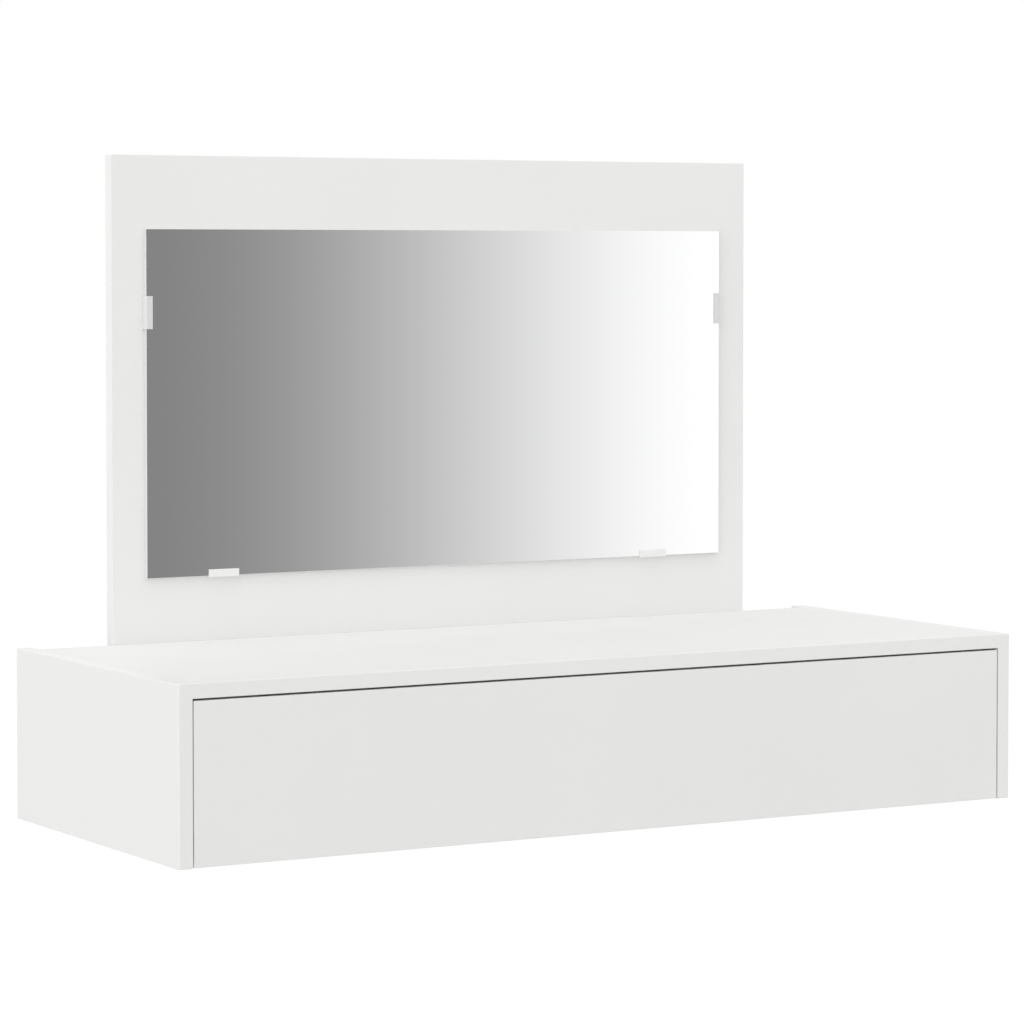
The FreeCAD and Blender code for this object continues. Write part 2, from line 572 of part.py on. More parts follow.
parts["case_roller_axles"] = both([front_axle])
parts["drawer_roller_axles"] = both([rear_axle])

# Wall brackets
bracket = wall_bracket(bracket_holes)
parts["wall_bracket_right"] = [bracket]
parts["wall_bracket_left"] = [mirrored(bracket)]

os.makedirs("parts", exist_ok=True)
for name, solids in parts.items():
    shape = solids[0] if len(solids) == 1 else Part.makeCompound(solids)
    shape.exportStep(f"parts/{name}.step")
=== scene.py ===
"""Looks of a wall-hung dressing table: white boards, a drawer on roller runners and a mirror.

Metres throughout, in the frame of the solids: X to the right, Y towards the wall and Z up.
"""

from __future__ import annotations

import logging
import math
from abc import ABC, abstractmethod
from dataclasses import dataclass
from enum import Enum
from typing import Any, ClassVar

import bmesh
import bpy
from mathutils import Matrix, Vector


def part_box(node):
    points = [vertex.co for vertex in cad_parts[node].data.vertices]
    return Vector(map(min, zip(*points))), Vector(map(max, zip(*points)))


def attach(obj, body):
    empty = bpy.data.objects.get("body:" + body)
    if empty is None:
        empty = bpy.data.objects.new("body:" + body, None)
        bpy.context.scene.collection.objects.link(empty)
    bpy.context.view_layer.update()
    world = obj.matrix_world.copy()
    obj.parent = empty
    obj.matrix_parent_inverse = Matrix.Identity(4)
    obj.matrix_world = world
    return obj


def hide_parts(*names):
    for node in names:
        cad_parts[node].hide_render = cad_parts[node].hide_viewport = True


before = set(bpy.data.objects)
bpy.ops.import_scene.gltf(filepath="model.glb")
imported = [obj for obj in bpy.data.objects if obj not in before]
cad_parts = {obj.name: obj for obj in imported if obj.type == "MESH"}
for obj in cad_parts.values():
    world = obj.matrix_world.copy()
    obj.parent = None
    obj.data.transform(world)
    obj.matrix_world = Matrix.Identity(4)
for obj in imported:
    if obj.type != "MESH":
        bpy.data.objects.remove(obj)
for leftover in ("Cube", "Light", "Camera"):
    if leftover in bpy.data.objects:
        bpy.data.objects.remove(bpy.data.objects[leftover])
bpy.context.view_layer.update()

LOG = logging.getLogger("dressing_table")

Colour = tuple[float, float, float, float]
Triple = tuple[float, float, float]
Span = tuple[float, float]
Socket = bpy.types.NodeSocket
Sockets = bpy.types.bpy_prop_collection

FLOAT = "NodeSocketFloat"
INTEGER = "NodeSocketInt"
COLOUR = "NodeSocketColor"
VECTOR = "NodeSocketVector"
GEOMETRY = "NodeSocketGeometry"
MATERIAL = "NodeSocketMaterial"

# Numbers of the sockets that carry colours in a mix node, whose names aren't unique
MIX_INPUTS = (0, 6, 7)
MIX_RESULT = 2

# Attribute of a screw's seat that says which way its head looks
SEAT_WAY = "out"
# Points of a solid that lie closer than this are one point
WELD = 1e-6
# Decimals by which the screws of a node are put in order
ORDER_DIGITS = 5


def tint(red: float, green: float, blue: float) -> Colour:
    """Opaque linear colour."""
    return (red, green, blue, 1.0)


class Axis(Enum):
    """Directions of the frame."""

    RIGHT = (1.0, 0.0, 0.0)
    WALL = (0.0, 1.0, 0.0)
    FRONT = (0.0, -1.0, 0.0)
    UP = (0.0, 0.0, 1.0)
    DOWN = (0.0, 0.0, -1.0)


class Facing(Enum):
    """Which way the heads of a set of screws look."""

    INWARD = "towards the middle of the table"
    OUTWARD = "away from the middle of the table"
    WALLWARD = "towards the wall"
    FRONTWARD = "towards the user"
    DOWNWARD = "towards the floor"

    def direction(self, place: Vector) -> Vector:
        """Unit vector out of a screw's head.

        Args:
            place: Middle of the screw.

        Returns:
            The direction, mirrored between the left and right of the table where that matters.
        """
        side = Vector((math.copysign(1.0, place.x), 0.0, 0.0))
        return {
            Facing.INWARD: -side,
            Facing.OUTWARD: side,
            Facing.WALLWARD: Vector(Axis.WALL.value),
            Facing.FRONTWARD: Vector(Axis.FRONT.value),
            Facing.DOWNWARD: Vector(Axis.DOWN.value),
        }[self]


class HeadForm(Enum):
    """How a screw's head meets the surface."""

    PAN = "stands on it"
    SUNK = "lies flush in it"


class Graph:
    """One node tree, with short calls that add, fill and join its nodes."""

    def __init__(self, tree: bpy.types.NodeTree) -> None:
        """Keep the tree that the nodes go into."""
        self.tree = tree

    def feed(self, socket: Socket, value: Any) -> None:
        """Fill an input.

        Args:
            socket: The input.
            value: An output to join to it, or the constant that it gets.
        """
        if isinstance(value, Socket):
            self.tree.links.new(value, socket)
        else:
            socket.default_value = value

    def add(
        self, kind: str, inputs: dict[str | int, Any] | None = None, **options: Any
    ) -> bpy.types.Node:
        """Add a node.

        Args:
            kind: Type of the node.
            inputs: What its inputs get, by name or by number.
            options: Settings of the node.

        Returns:
            The new node.
        """
        node = self.tree.nodes.new(kind)
        for name, value in options.items():
            setattr(node, name, value)
        for key, value in (inputs or {}).items():
            self.feed(node.inputs[key], value)
        return node

    def math(self, operation: str, *values: Any) -> Socket:
        """Result of a sum on outputs or numbers."""
        inputs = dict(enumerate(values))
        return self.add("ShaderNodeMath", inputs, operation=operation).outputs[0]

    def ease(self, value: Any, low: Any, high: Any) -> Socket:
        """Smooth rise from 0 to 1 while a value goes from low to high.

        Args:
            value: Output that is read.
            low: Value at the foot of the rise.
            high: Value at its top.

        Returns:
            The output that carries the rise.
        """
        inputs = {"Value": value, "From Min": low, "From Max": high}
        rise = self.add("ShaderNodeMapRange", inputs, interpolation_type="SMOOTHSTEP")
        return rise.outputs["Result"]

    def mix(self, share: Any, first: Any, second: Any) -> Socket:
        """Colour between two others.

        Args:
            share: How much of the second colour shows.
            first: Colour at a share of 0.
            second: Colour at a share of 1.

        Returns:
            The output that carries the mixed colour.
        """
        node = self.add("ShaderNodeMix", data_type="RGBA")
        for number, value in zip(MIX_INPUTS, (share, first, second)):
            self.feed(node.inputs[number], value)
        return node.outputs[MIX_RESULT]

    def split(self, vector: Socket) -> Sockets:
        """X, Y and Z outputs of a vector."""
        return self.add("ShaderNodeSeparateXYZ", {0: vector}).outputs


class Group(Graph):
    """A node group with named inputs and outputs."""

    def __init__(
        self, name: str, kind: str, inputs: dict[str, str], outputs: dict[str, str]
    ) -> None:
        """Make the group and its sockets.

        Args:
            name: Name of the group.
            kind: Type of its tree.
            inputs: Socket types of its inputs, by name.
            outputs: Socket types of its outputs, by name.
        """
        super().__init__(bpy.data.node_groups.new(name, kind))
        for way, ports in (("INPUT", inputs), ("OUTPUT", outputs)):
            for port, socket_type in ports.items():
                self.tree.interface.new_socket(port, in_out=way, socket_type=socket_type)
        self.start = self.add("NodeGroupInput").outputs
        self.end = self.add("NodeGroupOutput").inputs

    def identifier(self, name: str) -> str:
        """Identifier of an input, by which a modifier sets it."""
        inputs = (item for item in self.tree.interface.items_tree if item.in_out == "INPUT")
        return next(item.identifier for item in inputs if item.name == name)


class Coating(Graph):
    """A material with one surface shader."""

    def __init__(self, name: str) -> None:
        """Make the material and keep its shader.

        Args:
            name: Name of the material.
        """
        self.material = bpy.data.materials.new(name)
        self.material.use_nodes = True
        super().__init__(self.material.node_tree)
        self.shader = next(node for node in self.tree.nodes if node.type == "BSDF_PRINCIPLED")

    def use(self, group: Group, inputs: dict[str, Any]) -> Sockets:
        """Outputs of a shared effect that gets these inputs in the material."""
        return self.add("ShaderNodeGroup", inputs, node_tree=group.tree).outputs

    def surface(self, **inputs: Any) -> None:
        """Fill the shader's inputs, named with underscores for spaces."""
        for name, value in inputs.items():
            self.feed(self.shader.inputs[name.replace("_", " ")], value)

    def relief(self, height: Socket, depth: float) -> None:
        """Raise the surface by a height between 0 and 1, times a depth in metres."""
        bump = self.add("ShaderNodeBump", {"Strength": 1.0, "Distance": depth, "Height": height})
        self.feed(self.shader.inputs["Normal"], bump.outputs["Normal"])


class Effects:
    """Shader effects that several finishes share."""

    CLOUD_DETAIL = 4.0
    CLOUD_BREAKUP = 0.55
    CLOUD_SPAN = (0.3, 0.7)
    GRIT_DETAIL = 2.0
    GRIT_BREAKUP = 0.6
    FACING_BLEND = 0.05

    def __init__(self) -> None:
        """Build each effect once."""
        self.mottle = self._mottle()
        self.grit = self._grit()
        self.facing = self._facing()

    def _mottle(self) -> Group:
        """Slow, cloudy change of colour and gloss.

        Returns:
            The group.
        """
        inputs = {
            "Light": COLOUR, "Dark": COLOUR, "Size": FLOAT, "Stretch": VECTOR,
            "Dull": FLOAT, "Bright": FLOAT}
        outputs = {"Colour": COLOUR, "Roughness": FLOAT}
        group = Group("cloudy_mottle", "ShaderNodeTree", inputs, outputs)
        place = {
            "Vector": group.add("ShaderNodeTexCoord").outputs["Object"],
            "Scale": group.start["Stretch"]}
        noise = {
            "Vector": group.add("ShaderNodeMapping", place).outputs[0],
            "Scale": group.math("DIVIDE", 1.0, group.start["Size"]),
            "Detail": self.CLOUD_DETAIL, "Roughness": self.CLOUD_BREAKUP}
        share = group.ease(group.add("ShaderNodeTexNoise", noise).outputs[0], *self.CLOUD_SPAN)
        colour = group.mix(share, group.start["Light"], group.start["Dark"])
        group.feed(group.end["Colour"], colour)
        spread = group.math("SUBTRACT", group.start["Dull"], group.start["Bright"])
        rough = group.math("MULTIPLY_ADD", share, spread, group.start["Bright"])
        group.feed(group.end["Roughness"], rough)
        return group

    def _grit(self) -> Group:
        """Fine pebbled relief, as on a pressed or sprayed surface.

        Returns:
            The group.
        """
        group = Group("fine_grit", "ShaderNodeTree", {"Size": FLOAT}, {"Height": FLOAT})
        noise = {
            "Vector": group.add("ShaderNodeTexCoord").outputs["Object"],
            "Scale": group.math("DIVIDE", 1.0, group.start["Size"]),
            "Detail": self.GRIT_DETAIL, "Roughness": self.GRIT_BREAKUP}
        group.feed(group.end["Height"], group.add("ShaderNodeTexNoise", noise).outputs[0])
        return group

    def _facing(self) -> Group:
        """Masks of the faces that look along a direction, and along it either way.

        Returns:
            The group.
        """
        inputs = {"Direction": VECTOR, "Limit": FLOAT}
        outputs = {"One Way": FLOAT, "Either Way": FLOAT}
        group = Group("facing_mask", "ShaderNodeTree", inputs, outputs)
        normal = group.add("ShaderNodeTexCoord").outputs["Normal"]
        vectors = {0: normal, 1: group.start["Direction"]}
        dot = group.add("ShaderNodeVectorMath", vectors, operation="DOT_PRODUCT")
        along = dot.outputs["Value"]
        limit = group.start["Limit"]
        full = group.math("ADD", limit, self.FACING_BLEND)
        group.feed(group.end["One Way"], group.ease(along, limit, full))
        group.feed(group.end["Either Way"], group.ease(group.math("ABSOLUTE", along), limit, full))
        return group


@dataclass(frozen=True)
class Clouds:
    """Two colours in slow clouds, of which the darker one is also the duller."""

    light: Colour
    dark: Colour
    size: float
    dull: float
    bright: float
    stretch: Triple = (1.0, 1.0, 1.0)

    def lay(self, coating: Coating, effects: Effects) -> Sockets:
        """Place the clouds in a material.

        Args:
            coating: The material.
            effects: The shared effects.

        Returns:
            The outputs with the colour and the roughness.
        """
        return coating.use(effects.mottle, {
            "Light": self.light, "Dark": self.dark, "Size": self.size, "Stretch": self.stretch,
            "Dull": self.dull, "Bright": self.bright})


@dataclass(frozen=True)
class Grain:
    """Fine relief in a surface."""

    size: float
    depth: float

    def lay(self, coating: Coating, effects: Effects, share: Socket | None = None) -> None:
        """Raise the surface of a material.

        Args:
            coating: The material.
            effects: The shared effects.
            share: How much of the relief shows, where that differs over the piece.
        """
        height = coating.use(effects.grit, {"Size": self.size})["Height"]
        if share is not None:
            height = coating.math("MULTIPLY", height, share)
        coating.relief(height, self.depth)


class Finish(ABC):
    """A surface finish that can be given to any number of pieces."""

    @abstractmethod
    def coat(self, name: str, effects: Effects) -> bpy.types.Material:
        """Make the finish's material for one piece.

        Args:
            name: Name of the piece's node.
            effects: The shared effects.

        Returns:
            The material.
        """


@dataclass(frozen=True)
class Melamine(Finish):
    """Satin white board: pearl-pressed faces and smoother bands on the thin edges."""

    faces: Clouds = Clouds(
        light=tint(0.824, 0.825, 0.814), dark=tint(0.814, 0.815, 0.804),
        size=0.16, dull=0.50, bright=0.42)
    pearl: Grain = Grain(size=0.0011, depth=0.000012)
    band: Colour = tint(0.827, 0.828, 0.819)
    band_roughness: float = 0.36
    face_limit: float = 0.85
    refraction: float = 1.48

    def coat(self, name: str, effects: Effects) -> bpy.types.Material:
        """Make the material of one board, whose thin direction sets which faces are edges.

        Args:
            name: Name of the board's node.
            effects: The shared effects.

        Returns:
            The material.
        """
        coating = Coating(f"{name}_melamine")
        low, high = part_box(name)
        extent = high - low
        axes = (Axis.RIGHT, Axis.WALL, Axis.UP)
        thin = min(axes, key=lambda axis: extent.dot(Vector(axis.value)))
        facing = coating.use(effects.facing, {"Direction": thin.value, "Limit": self.face_limit})
        broad = facing["Either Way"]
        cloud = self.faces.lay(coating, effects)
        rough = coating.math("SUBTRACT", cloud["Roughness"], self.band_roughness)
        coating.surface(
            Base_Color=coating.mix(broad, self.band, cloud["Colour"]),
            Roughness=coating.math("MULTIPLY_ADD", rough, broad, self.band_roughness),
            IOR=self.refraction)
        self.pearl.lay(coating, effects, broad)
        return coating.material


@dataclass(frozen=True)
class Hardboard(Finish):
    """Thin pressed sheet: lacquered white above, raw brown fibre on the edges and below."""

    lacquer: Clouds = Clouds(
        light=tint(0.800, 0.800, 0.785), dark=tint(0.775, 0.775, 0.758),
        size=0.06, dull=0.48, bright=0.38)
    fibre: Clouds = Clouds(
        light=tint(0.230, 0.130, 0.065), dark=tint(0.140, 0.074, 0.036),
        size=0.004, dull=0.9, bright=0.7, stretch=(1.0, 3.0, 1.0))
    grain: Grain = Grain(size=0.0015, depth=0.00003)
    upward_limit: float = 0.6

    def coat(self, name: str, effects: Effects) -> bpy.types.Material:
        """Make a material with the lacquer on the faces that look up.

        Args:
            name: Name of the sheet's node.
            effects: The shared effects.

        Returns:
            The material.
        """
        coating = Coating(f"{name}_hardboard")
        upward = {"Direction": Axis.UP.value, "Limit": self.upward_limit}
        above = coating.use(effects.facing, upward)["One Way"]
        lacquer = self.lacquer.lay(coating, effects)
        raw = self.fibre.lay(coating, effects)
        spread = coating.math("SUBTRACT", lacquer["Roughness"], raw["Roughness"])
        coating.surface(
            Base_Color=coating.mix(above, raw["Colour"], lacquer["Colour"]),
            Roughness=coating.math("MULTIPLY_ADD", spread, above, raw["Roughness"]))
        self.grain.lay(coating, effects)
        return coating.material


@dataclass(frozen=True)
class Mirror(Finish):
    """Silvered glass: a clear reflecting front, pale ground edges and grey paint on the back."""

    silver: Colour = tint(0.975, 0.980, 0.978)
    edge: Colour = tint(0.760, 0.770, 0.760)
    edge_roughness: float = 0.12
    paint: Clouds = Clouds(
        light=tint(0.300, 0.320, 0.340), dark=tint(0.250, 0.270, 0.290),
        size=0.02, dull=0.65, bright=0.5)
    face_limit: float = 0.9

    def coat(self, name: str, effects: Effects) -> bpy.types.Material:
        """Make a material whose parts follow the way that each face looks.

        Args:
            name: Name of the glass's node.
            effects: The shared effects.

        Returns:
            The material.
        """
        coating = Coating(f"{name}_mirror")
        front, rear = (
            coating.use(effects.facing, {"Direction": way, "Limit": self.face_limit})["One Way"]
            for way in (Axis.FRONT.value, Axis.WALL.value))
        paint = self.paint.lay(coating, effects)
        body = coating.mix(rear, self.edge, paint["Colour"])
        rough = coating.math("MULTIPLY_ADD", rear, paint["Roughness"], self.edge_roughness)
        clear = coating.math("SUBTRACT", 1.0, front)
        coating.surface(
            Base_Color=coating.mix(front, body, self.silver),
            Metallic=front,
            Roughness=coating.math("MULTIPLY", rough, clear))
        return coating.material


@dataclass(frozen=True)
class Enamel(Finish):
    """Baked enamel on sheet steel, with the slight orange peel of a sprayed coat."""

    clouds: Clouds = Clouds(
        light=tint(0.760, 0.755, 0.725), dark=tint(0.730, 0.725, 0.690),
        size=0.05, dull=0.40, bright=0.30)
    peel: Grain = Grain(size=0.0016, depth=0.00002)

    def coat(self, name: str, effects: Effects) -> bpy.types.Material:
        """Make the material of an enamelled piece.

        Args:
            name: Name of the piece's node.
            effects: The shared effects.

        Returns:
            The material.
        """
        coating = Coating(f"{name}_enamel")
        cloud = self.clouds.lay(coating, effects)
        coating.surface(Base_Color=cloud["Colour"], Roughness=cloud["Roughness"])
        self.peel.lay(coating, effects)
        return coating.material


@dataclass(frozen=True)
class Zinc(Finish):
    """Bright zinc plating with fine rolling streaks."""

    streaks: Clouds = Clouds(
        light=tint(0.700, 0.710, 0.720), dark=tint(0.540, 0.550, 0.570),
        size=0.004, dull=0.48, bright=0.28, stretch=(6.0, 6.0, 1.0))
    grain: Grain = Grain(size=0.0008, depth=0.000008)

    def coat(self, name: str, effects: Effects) -> bpy.types.Material:
        """Make the material of a plated piece.

        Args:
            name: Name of the piece's node.
            effects: The shared effects.

        Returns:
            The material.
        """
        coating = Coating(f"{name}_zinc")
        streaks = self.streaks.lay(coating, effects)
        coating.surface(Base_Color=streaks["Colour"], Roughness=streaks["Roughness"], Metallic=1.0)
        self.grain.lay(coating, effects)
        return coating.material


@dataclass(frozen=True)
class Moulded(Finish):
    """Moulded plastic with a faint flow mottle and the fine grain of the mould."""

    light: Colour
    dark: Colour
    cloud_size: float = 0.006
    dull: float = 0.50
    bright: float = 0.38
    grain: Grain = Grain(size=0.0006, depth=0.00001)

    def coat(self, name: str, effects: Effects) -> bpy.types.Material:
        """Make the material of a moulded piece.

        Args:
            name: Name of the piece's node.
            effects: The shared effects.

        Returns:
            The material.
        """
        coating = Coating(f"{name}_plastic")
        clouds = Clouds(self.light, self.dark, self.cloud_size, self.dull, self.bright)
        cloud = clouds.lay(coating, effects)
        colour = self._colour(coating, cloud["Colour"])
        coating.surface(Base_Color=colour, Roughness=cloud["Roughness"])
        self.grain.lay(coating, effects)
        return coating.material

    def _colour(self, coating: Coating, clouded: Socket) -> Socket:
        """Colour of the surface, which is the clouded one all over."""
        return clouded


@dataclass(frozen=True)
class PaintedShadeLip(Moulded):
    """Moulded clip with painted shade: grey where its lip lies over the glass."""

    # Painted shade: the grey that the lips over the glass are darkened to
    lip_shade: Colour = tint(0.690, 0.690, 0.685)
    glass: str = "mirror_glass"

    def _colour(self, coating: Coating, clouded: Socket) -> Socket:
        """Colour of the surface: painted shade in grey within the width of the glass and clouded
        past it.

        Args:
            coating: The material.
            clouded: Output with the clouded colour.

        Returns:
            The output with the colour.
        """
        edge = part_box(self.glass)[1].x
        place = coating.split(coating.add("ShaderNodeTexCoord").outputs["Object"])
        past = coating.math("GREATER_THAN", coating.math("ABSOLUTE", place["X"]), edge)
        # The lip over the glass takes the painted shade, the rest keeps the plastic's own colour
        return coating.mix(past, self.lip_shade, clouded)


@dataclass(frozen=True)
class Beech(Finish):
    """Turned beech with short dark flecks along the grain."""

    light: Colour = tint(0.600, 0.400, 0.230)
    dark: Colour = tint(0.430, 0.260, 0.130)
    fleck_size: float = 0.0015
    fleck_stretch: float = 0.25
    dull: float = 0.75
    bright: float = 0.6
    grain: Grain = Grain(size=0.0005, depth=0.00003)

    def coat(self, name: str, effects: Effects) -> bpy.types.Material:
        """Make the material of the dowels, whose grain runs with their length.

        Args:
            name: Name of the dowels' node.
            effects: The shared effects.

        Returns:
            The material.
        """
        coating = Coating(f"{name}_beech")
        across, along = (self.fleck_stretch, 1.0, 1.0), (1.0, self.fleck_stretch, 1.0)
        stretch = across if name.startswith("case") else along
        flecks = Clouds(self.light, self.dark, self.fleck_size, self.dull, self.bright, stretch)
        wood = flecks.lay(coating, effects)
        coating.surface(Base_Color=wood["Colour"], Roughness=wood["Roughness"])
        self.grain.lay(coating, effects)
        return coating.material


FINISHES: dict[str, Finish] = {
    "white_melamine": Melamine(),
    "white_hardboard": Hardboard(),
    "mirror_silver": Mirror(),
    "clip_plastic": Moulded(light=tint(0.850, 0.850, 0.842), dark=tint(0.825, 0.825, 0.815)),
    # Side clips: the same plastic as the bottom clips, with painted shade in grey on their lips
    # over the glass
    "clip_grey": PaintedShadeLip(light=tint(0.800, 0.800, 0.792), dark=tint(0.780, 0.780, 0.770)),
    "runner_enamel": Enamel(),
    "zinc_steel": Zinc(),
    "roller_nylon": Moulded(light=tint(0.780, 0.770, 0.730), dark=tint(0.740, 0.725, 0.680)),
    "beech": Beech(),
}


class ScrewTree(Group):
    """Geometry nodes that put a threaded screw with a cross recess on every seat."""

    SIZES = (
        "Head Radius", "Under Radius", "Head Height", "Dome", "Recess Depth",
        "Shank Radius", "Length", "Pitch")

    HEAD_SIDES = 28
    HEAD_RINGS = 5
    DOME_POWER = 3.0

    # Arms of the cross, as shares of the head's radius, and how much they narrow with depth
    ARM_LENGTH = 1.2
    ARM_WIDTH = 0.28
    ARM_TAPER = 0.55

    # The neck is a share of the head's height, the point is in radii of the shank
    SHANK_SIDES = 16
    RINGS_PER_TURN = 6.0
    NECK = 0.25
    RIDGE_POWER = 1.6
    THREAD_ROOT = 0.7
    POINT_LENGTH = 2.5
    POINT_END = 0.06

    SHARP_ANGLE = math.radians(35.0)

    # Numbers of the sockets that carry plain values in a random node
    CHANCE_LOW, CHANCE_HIGH = 2, 3
    CHANCE_RESULT = 1

    def __init__(self) -> None:
        """Build the tree: head, recess, threaded shank, then one copy for each seat."""
        inputs = {
            "Seats": GEOMETRY, **dict.fromkeys(self.SIZES, FLOAT),
            "Turn Seed": INTEGER, "Finish": MATERIAL}
        super().__init__("cross_head_screws", "GeometryNodeTree", inputs, {"Screws": GEOMETRY})
        head = self.add("GeometryNodeMeshBoolean", operation="DIFFERENCE", solver="EXACT")
        self.feed(head.inputs[0], self._head())
        for across in (True, False):
            self.feed(head.inputs[1], self._recess_arm(across))
        whole = self.add("GeometryNodeMeshBoolean", operation="UNION", solver="EXACT")
        for part in (head.outputs["Mesh"], self._shank()):
            self.feed(whole.inputs[1], part)
        self.feed(self.end["Screws"], self._copies(self._crisp(whole.outputs["Mesh"])))

    def _position(self) -> Sockets:
        """X, Y and Z of each point."""
        return self.split(self.add("GeometryNodeInputPosition").outputs[0])

    def _radius(self, place: Sockets) -> Socket:
        """Distance of each point from the screw's own axis."""
        squares = (self.math("POWER", place[axis], 2.0) for axis in ("X", "Y"))
        return self.math("SQRT", self.math("ADD", *squares))

    def _moved(self, mesh: Socket, x: Any, y: Any, z: Any) -> Socket:
        """Mesh with new coordinates for its points."""
        place = self.add("ShaderNodeCombineXYZ", {"X": x, "Y": y, "Z": z}).outputs[0]
        return self.add("GeometryNodeSetPosition", {"Geometry": mesh, "Position": place}).outputs[0]

    def _head(self) -> Socket:
        """Head that stands on Z = 0, with its top domed.

        Returns:
            The output with the head.
        """
        sizes = {
            "Vertices": self.HEAD_SIDES, "Side Segments": 1, "Fill Segments": self.HEAD_RINGS,
            "Radius Top": self.start["Head Radius"], "Radius Bottom": self.start["Under Radius"],
            "Depth": self.start["Head Height"]}
        cone = self.add("GeometryNodeMeshCone", sizes, fill_type="TRIANGLE_FAN").outputs["Mesh"]
        place = self._position()
        share = self.math("DIVIDE", self._radius(place), self.start["Head Radius"])
        fall = self.math("POWER", share, self.DOME_POWER)
        fall = self.math("MULTIPLY", fall, self.start["Dome"])
        half = self.math("MULTIPLY", self.start["Head Height"], 0.5)
        fall = self.math("MULTIPLY", fall, self.math("GREATER_THAN", place["Z"], half))
        return self._moved(cone, place["X"], place["Y"], self.math("SUBTRACT", place["Z"], fall))

    def _recess_arm(self, across: bool) -> Socket:
        """Wedge that cuts one arm of the cross.

        Args:
            across: Whether the arm runs along X and not along Y.

        Returns:
            The output with the wedge.
        """
        long = self.math("MULTIPLY", self.start["Head Radius"], self.ARM_LENGTH)
        short = self.math("MULTIPLY", self.start["Head Radius"], self.ARM_WIDTH)
        deep = self.math("MULTIPLY", self.start["Recess Depth"], 2.0)
        x, y = (long, short) if across else (short, long)
        size = self.add("ShaderNodeCombineXYZ", {"X": x, "Y": y, "Z": deep}).outputs[0]
        block = self.add("GeometryNodeMeshCube", {"Size": size}).outputs["Mesh"]
        place = self._position()
        low = self.math("LESS_THAN", place["Z"], 0.0)
        narrow = self.math("MULTIPLY_ADD", low, -self.ARM_TAPER, 1.0)
        return self._moved(
            block,
            self.math("MULTIPLY", place["X"], narrow),
            self.math("MULTIPLY", place["Y"], narrow),
            self.math("ADD", place["Z"], self.start["Head Height"]))

    def _shank(self) -> Socket:
        """Pointed shank below the head, whose radius follows a helix.

        Returns:
            The output with the shank.
        """
        neck = self.math("MULTIPLY", self.start["Head Height"], self.NECK)
        depth = self.math("ADD", self.start["Length"], neck)
        turns = self.math("DIVIDE", depth, self.start["Pitch"])
        rings = self.math("ROUND", self.math("MULTIPLY", turns, self.RINGS_PER_TURN))
        sizes = {
            "Vertices": self.SHANK_SIDES, "Side Segments": rings,
            "Radius": self.start["Shank Radius"], "Depth": depth}
        rod = self.add("GeometryNodeMeshCylinder", sizes, fill_type="NGON").outputs["Mesh"]
        place = self._position()
        middle = self.math("MULTIPLY", depth, 0.5)
        level = self.math("ADD", self.math("SUBTRACT", place["Z"], middle), neck)
        angle = self.math("DIVIDE", self.math("ARCTAN2", place["Y"], place["X"]), math.tau)
        winds = self.math("DIVIDE", level, self.start["Pitch"])
        phase = self.math("FRACT", self.math("SUBTRACT", winds, angle))
        slope = self.math("ABSOLUTE", self.math("MULTIPLY_ADD", phase, 2.0, -1.0))
        ridge = self.math("POWER", self.math("SUBTRACT", 1.0, slope), self.RIDGE_POWER)
        thread = self.math("MULTIPLY_ADD", ridge, 1.0 - self.THREAD_ROOT, self.THREAD_ROOT)
        point = self.math("MULTIPLY", self.start["Shank Radius"], self.POINT_LENGTH)
        rise = self.math("DIVIDE", self.math("ADD", level, self.start["Length"]), point)
        taper = self.math("MAXIMUM", self.math("MINIMUM", rise, 1.0), self.POINT_END)
        scale = self.math("MULTIPLY", thread, taper)
        return self._moved(
            rod,
            self.math("MULTIPLY", place["X"], scale),
            self.math("MULTIPLY", place["Y"], scale),
            level)

    def _crisp(self, mesh: Socket) -> Socket:
        """Mesh with smooth faces and sharp corners.

        Args:
            mesh: The mesh.

        Returns:
            The output with the shaded mesh.
        """
        angle = self.add("GeometryNodeInputMeshEdgeAngle").outputs["Unsigned Angle"]
        soft = self.math("LESS_THAN", angle, self.SHARP_ANGLE)
        for domain, smooth in (("FACE", True), ("EDGE", soft)):
            inputs = {"Geometry": mesh, "Shade Smooth": smooth}
            mesh = self.add("GeometryNodeSetShadeSmooth", inputs, domain=domain).outputs[0]
        return mesh

    def _copies(self, screw: Socket) -> Socket:
        """One screw on each seat, along the seat's own direction and turned by chance.

        Args:
            screw: The screw.

        Returns:
            The output with all screws as one mesh.
        """
        way = {"Name": SEAT_WAY}
        out = self.add("GeometryNodeInputNamedAttribute", way, data_type="FLOAT_VECTOR").outputs[0]
        along = {"Vector": out}
        aligned = self.add("FunctionNodeAlignRotationToVector", along, axis="Z").outputs[0]
        chance = self.add("FunctionNodeRandomValue", data_type="FLOAT")
        self.feed(chance.inputs[self.CHANCE_LOW], 0.0)
        self.feed(chance.inputs[self.CHANCE_HIGH], math.tau)
        self.feed(chance.inputs["Seed"], self.start["Turn Seed"])
        twist = {"Axis": Axis.UP.value, "Angle": chance.outputs[self.CHANCE_RESULT]}
        spin = self.add("FunctionNodeAxisAngleToRotation", twist).outputs[0]
        both = {"Rotation": aligned, "Rotate By": spin}
        turned = self.add("FunctionNodeRotateRotation", both, rotation_space="LOCAL").outputs[0]
        places = {"Points": self.start["Seats"], "Instance": screw, "Rotation": turned}
        copies = self.add("GeometryNodeInstanceOnPoints", places).outputs[0]
        real = self.add("GeometryNodeRealizeInstances", {"Geometry": copies}).outputs[0]
        coat = {"Geometry": real, "Material": self.start["Finish"]}
        return self.add("GeometryNodeSetMaterial", coat).outputs[0]


